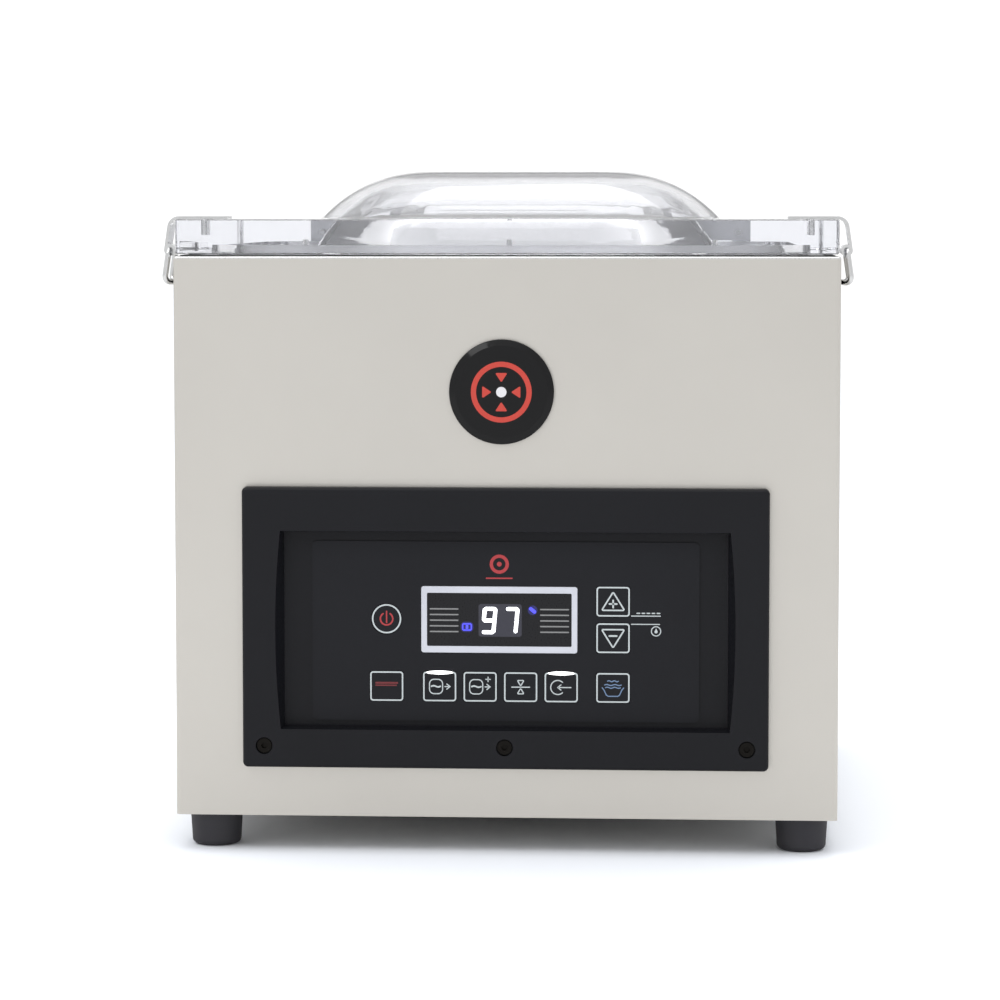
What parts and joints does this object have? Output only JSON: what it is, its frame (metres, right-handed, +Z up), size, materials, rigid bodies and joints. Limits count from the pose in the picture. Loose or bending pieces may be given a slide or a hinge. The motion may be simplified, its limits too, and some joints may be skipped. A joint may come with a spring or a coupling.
{
  "type": "chamber vacuum packing machine",
  "caption": "Tabletop chamber vacuum packer: stainless casing, clear domed lid on rear hinges, side wire clips, recessed keypad panel, pump set inside",
  "frame": {"origin": "centre of the footprint, on the surface that the feet stand on", "axes": "+Z up, +Y towards the back where the lid is hinged, +X to the right of someone at the keypad"},
  "size_m": [0.399, 0.465, 0.3963],
  "materials": {
    "stainless_sheet": "satin",
    "stainless_chamber": "satin",
    "polished_steel": "polished",
    "zinc_screw": "satin",
    "spring_steel": "satin",
    "black_screw": "satin",
    "foot_rubber": "matte",
    "mount_rubber": "matte",
    "bezel_plastic": "satin",
    "overlay_film": "matte",
    "display_white": "satin",
    "display_lens": "gloss",
    "circuit_board": "satin",
    "switch_plastic": "matte",
    "badge_black": "gloss",
    "clear_lid": "polished",
    "gasket_silicone": "satin",
    "red_silicone": "matte",
    "aluminium": "satin",
    "heating_band": "satin",
    "ptfe_tape": "matte",
    "insulator": "matte",
    "white_board": "matte",
    "cast_pump": "satin",
    "motor_paint": "satin",
    "fan_plastic": "matte",
    "coil_plastic": "satin",
    "transformer_tape": "satin",
    "hose_pvc": "satin",
    "black_plastic": "satin",
    "rocker_plastic": "gloss",
    "muffler_plastic": "matte"
  },
  "bodies": {
    "machine": {"casing": "stainless_sheet", "deck_chamber": "stainless_chamber", "rear_panel": "stainless_sheet", "base_plate": "stainless_sheet", "case_screws": "zinc_screw", "rubber_feet": "foot_rubber", "control_bezel": "bezel_plastic", "bezel_screws": "black_screw", "overlay_panel": "overlay_film", "display_frame": "display_white", "display_window": "display_lens", "control_board": "circuit_board", "tact_switches": "switch_plastic", "badge": "badge_black", "hinge_fixed_leaves": "polished_steel", "hinge_springs": "spring_steel", "catch_plates": "polished_steel", "lift_cylinders": "aluminium", "filler_plates": "white_board", "suction_port": "polished_steel", "pump_body": "cast_pump", "oil_tank": "aluminium", "pump_motor": "motor_paint", "fan_cowl": "motor_paint", "pump_mounts": "mount_rubber", "valve_block": "aluminium", "valve_coils": "coil_plastic", "transformer": "transformer_tape", "power_board": "circuit_board", "hoses": "hose_pvc", "power_inlet": "black_plastic", "switch_frame": "black_plastic", "exhaust_muffler": "muffler_plastic"},
    "lid": {"lid_shell": "clear_lid", "lid_gasket": "gasket_silicone", "counter_bar": "aluminium", "counter_strip": "red_silicone", "lid_screws": "zinc_screw", "hinge_lid_leaves": "polished_steel", "hinge_pins": "polished_steel", "clip_straps": "polished_steel"},
    "clip_right": {"clip_wire_right": "polished_steel"},
    "clip_left": {"clip_wire_left": "polished_steel"},
    "sealing_bar": {"seal_bar": "aluminium", "seal_insulator": "insulator", "seal_wires": "heating_band", "seal_tape": "ptfe_tape", "lift_pistons": "polished_steel"},
    "rocker": {"main_rocker": "rocker_plastic"},
    "pump_shaft": {"pump_rotor": "spring_steel", "cooling_fan": "fan_plastic"},
    "power_button": {"power_key": "overlay_film"},
    "stop_button": {"stop_key": "overlay_film"},
    "vacuum_button": {"vacuum_key": "overlay_film"},
    "vacuum_plus_button": {"vacuum_plus_key": "overlay_film"},
    "seal_button": {"seal_key": "overlay_film"},
    "vent_button": {"vent_key": "overlay_film"},
    "marinate_button": {"marinate_key": "overlay_film"},
    "increase_button": {"increase_key": "overlay_film"},
    "decrease_button": {"decrease_key": "overlay_film"}
  },
  "joints": [
    {"name": "lid_hinge", "type": "hinge", "parent": "machine", "child": "lid", "pos_m": [0, 0.215, 0.345], "axis": [-1, 0, 0], "range_deg": [0, 60]},
    {"name": "clip_right_pivot", "type": "hinge", "parent": "lid", "child": "clip_right", "pos_m": [0.1956, -0.203, 0.3494], "axis": [0, -1, 0], "range_deg": [0, 110]},
    {"name": "clip_left_pivot", "type": "hinge", "parent": "lid", "child": "clip_left", "pos_m": [-0.1956, -0.203, 0.3494], "axis": [0, 1, 0], "range_deg": [0, 110]},
    {"name": "sealing_lift", "type": "slide", "parent": "machine", "child": "sealing_bar", "axis": [0, 0, 1], "range_m": [0, 0.007]},
    {"name": "mains_rocker", "type": "hinge", "parent": "machine", "child": "rocker", "pos_m": [0.098, 0.202, 0.058], "axis": [1, 0, 0], "range_deg": [0, 16]},
    {"name": "pump_turn", "type": "hinge", "parent": "machine", "child": "pump_shaft", "pos_m": [0, 0.06, 0.1], "axis": [1, 0, 0], "continuous": true},
    {"name": "power_press", "type": "slide", "parent": "machine", "child": "power_button", "axis": [0, 1, 0], "range_m": [0, 0.0005], "stiffness_N_per_m": 900},
    {"name": "stop_press", "type": "slide", "parent": "machine", "child": "stop_button", "axis": [0, 1, 0], "range_m": [0, 0.0005], "stiffness_N_per_m": 900},
    {"name": "vacuum_press", "type": "slide", "parent": "machine", "child": "vacuum_button", "axis": [0, 1, 0], "range_m": [0, 0.0005], "stiffness_N_per_m": 900},
    {"name": "vacuum_plus_press", "type": "slide", "parent": "machine", "child": "vacuum_plus_button", "axis": [0, 1, 0], "range_m": [0, 0.0005], "stiffness_N_per_m": 900},
    {"name": "seal_press", "type": "slide", "parent": "machine", "child": "seal_button", "axis": [0, 1, 0], "range_m": [0, 0.0005], "stiffness_N_per_m": 900},
    {"name": "vent_press", "type": "slide", "parent": "machine", "child": "vent_button", "axis": [0, 1, 0], "range_m": [0, 0.0005], "stiffness_N_per_m": 900},
    {"name": "marinate_press", "type": "slide", "parent": "machine", "child": "marinate_button", "axis": [0, 1, 0], "range_m": [0, 0.0005], "stiffness_N_per_m": 900},
    {"name": "increase_press", "type": "slide", "parent": "machine", "child": "increase_button", "axis": [0, 1, 0], "range_m": [0, 0.0005], "stiffness_N_per_m": 900},
    {"name": "decrease_press", "type": "slide", "parent": "machine", "child": "decrease_button", "axis": [0, 1, 0], "range_m": [0, 0.0005], "stiffness_N_per_m": 900}
  ]
}
